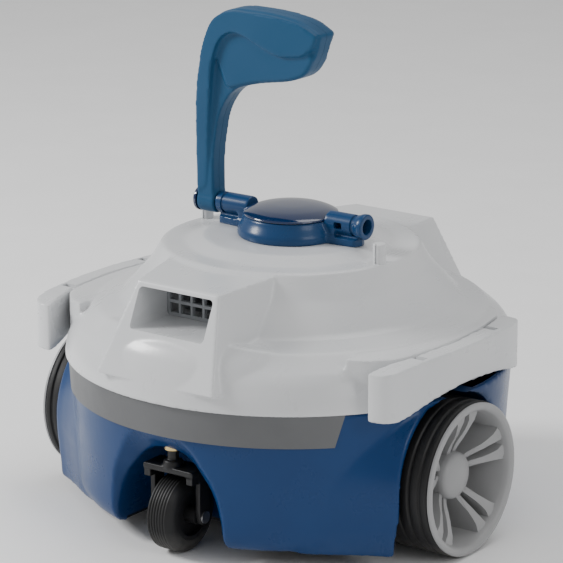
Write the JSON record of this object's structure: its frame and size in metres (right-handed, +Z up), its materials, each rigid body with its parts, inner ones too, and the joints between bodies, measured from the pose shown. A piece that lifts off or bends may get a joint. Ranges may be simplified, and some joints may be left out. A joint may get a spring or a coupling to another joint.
{
  "type": "pool cleaner",
  "caption": "Round cordless pool floor cleaning robot with domed cover, opposed jet nozzles, side wheels, casters and a floating swing handle.",
  "frame": {"origin": "on the ground under the centre of the dome", "axes": "+Z up, -Y towards the front nozzle, wheels on the X sides"},
  "size_m": [0.333, 0.316, 0.349],
  "materials": {
    "white_cover": "satin moulded",
    "blue_shell": "glossy moulded",
    "turret_blue": "glossy moulded",
    "handle_blue": "satin moulded",
    "band_grey": "fine texture",
    "hub_grey": "satin moulded",
    "tyre_black": "soft matt",
    "black_plastic": "fine texture",
    "clear_grey": "fine texture",
    "rubber_black": "soft matt",
    "steel": "turned",
    "brass": "turned",
    "motor_can": "rolled",
    "cell_wrap": "shrink sleeve",
    "board_green": "lacquered",
    "foam": "closed cell",
    "mesh": "woven"
  },
  "bodies": {
    "chassis": {"lower_shell": "blue_shell", "bumper_strip": "band_grey", "floor_pan": "black_plastic", "pan_screws": "steel", "suction_lips": "rubber_black", "filter_tray": "clear_grey", "filter_screen": "clear_grey", "filter_mesh": "mesh", "pod_case": "black_plastic", "pod_lid": "black_plastic", "shaft_seal": "rubber_black", "lid_gasket": "rubber_black", "lid_screws": "steel", "motor": "motor_can", "battery_cells": "cell_wrap", "control_board": "board_green", "pump_riser": "clear_grey", "control_panel": "black_plastic", "charging_socket": "black_plastic", "charging_pin": "brass", "switch_block": "black_plastic", "stub_axles": "steel", "axle_clips": "steel", "caster_bushes": "brass"},
    "cover": {"top_cover": "white_cover", "manifold": "clear_grey", "stop_pegs": "white_cover", "nozzle_grilles": "clear_grey", "latch_pins": "steel"},
    "diverter": {"diverter_flap": "black_plastic"},
    "turret": {"turret_body": "turret_blue", "turret_cap": "turret_blue", "turret_screw": "steel", "handle_pivot": "turret_blue"},
    "handle": {"handle_front_half": "handle_blue", "handle_rear_half": "handle_blue", "float_core": "foam"},
    "latch_right": {"side_latch_right": "white_cover"},
    "latch_left": {"side_latch_left": "white_cover"},
    "wheel_right": {"wheel_hub_right": "hub_grey", "tyre_right": "tyre_black", "wheel_bushes_right": "brass"},
    "wheel_left": {"wheel_hub_left": "hub_grey", "tyre_left": "tyre_black", "wheel_bushes_left": "brass"},
    "caster_front": {"caster_fork_front": "black_plastic", "caster_clip_front": "steel", "caster_axle_front": "steel"},
    "caster_rear": {"caster_fork_rear": "black_plastic", "caster_clip_rear": "steel", "caster_axle_rear": "steel"},
    "caster_wheel_front": {"caster_tyre_front": "tyre_black", "caster_core_front": "black_plastic"},
    "caster_wheel_rear": {"caster_tyre_rear": "tyre_black", "caster_core_rear": "black_plastic"},
    "impeller": {"impeller": "black_plastic"},
    "intake_flap": {"intake_flap": "black_plastic"},
    "power_button": {"power_button": "band_grey"},
    "socket_flap": {"socket_flap": "rubber_black"}
  },
  "joints": [
    {"name": "cover_lift", "type": "slide", "parent": "chassis", "child": "cover", "axis": [0, 0, 1], "range_m": [0, 0.08]},
    {"name": "diverter_swing", "type": "hinge", "parent": "cover", "child": "diverter", "pos_m": [0, 0, 0.1755], "axis": [1, 0, 0], "range_deg": [-55, 55]},
    {"name": "turret_swing", "type": "hinge", "parent": "cover", "child": "turret", "pos_m": [0, 0, 0.2], "axis": [0, 0, 1], "range_deg": [0, 160]},
    {"name": "handle_tilt", "type": "hinge", "parent": "turret", "child": "handle", "pos_m": [-0.069, 0, 0.208], "axis": [1, 0, 0], "range_deg": [-75, 75]},
    {"name": "latch_right_open", "type": "hinge", "parent": "cover", "child": "latch_right", "pos_m": [0.151, -0.019, 0.142], "axis": [0, -1, 0], "range_deg": [0, 60]},
    {"name": "latch_left_open", "type": "hinge", "parent": "cover", "child": "latch_left", "pos_m": [-0.151, -0.019, 0.142], "axis": [0, 1, 0], "range_deg": [0, 60]},
    {"name": "wheel_right_roll", "type": "hinge", "parent": "chassis", "child": "wheel_right", "pos_m": [0.14, -0.021, 0.0535], "axis": [1, 0, 0], "continuous": true},
    {"name": "wheel_left_roll", "type": "hinge", "parent": "chassis", "child": "wheel_left", "pos_m": [-0.14, -0.021, 0.0535], "axis": [1, 0, 0], "continuous": true},
    {"name": "caster_front_swivel", "type": "hinge", "parent": "chassis", "child": "caster_front", "pos_m": [0, -0.134, 0.075], "axis": [0, 0, 1], "continuous": true},
    {"name": "caster_front_roll", "type": "hinge", "parent": "caster_front", "child": "caster_wheel_front", "pos_m": [0, -0.127, 0.027], "axis": [1, 0, 0], "continuous": true},
    {"name": "caster_rear_swivel", "type": "hinge", "parent": "chassis", "child": "caster_rear", "pos_m": [0, 0.134, 0.075], "axis": [0, 0, 1], "continuous": true},
    {"name": "caster_rear_roll", "type": "hinge", "parent": "caster_rear", "child": "caster_wheel_rear", "pos_m": [0, 0.127, 0.027], "axis": [1, 0, 0], "continuous": true},
    {"name": "impeller_spin", "type": "hinge", "parent": "chassis", "child": "impeller", "pos_m": [0, 0, 0.129], "axis": [0, 0, 1], "continuous": true},
    {"name": "intake_flap_lift", "type": "hinge", "parent": "chassis", "child": "intake_flap", "pos_m": [0, -0.007, 0.0337], "axis": [1, 0, 0], "range_deg": [0, 60]},
    {"name": "button_press", "type": "slide", "parent": "chassis", "child": "power_button", "axis": [0, -1, 0], "range_m": [0, 0.0025], "stiffness_N_per_m": 600},
    {"name": "socket_flap_open", "type": "hinge", "parent": "chassis", "child": "socket_flap", "pos_m": [-0.022, 0.153, 0.1049], "axis": [1, 0, 0], "range_deg": [0, 100]}
  ]
}
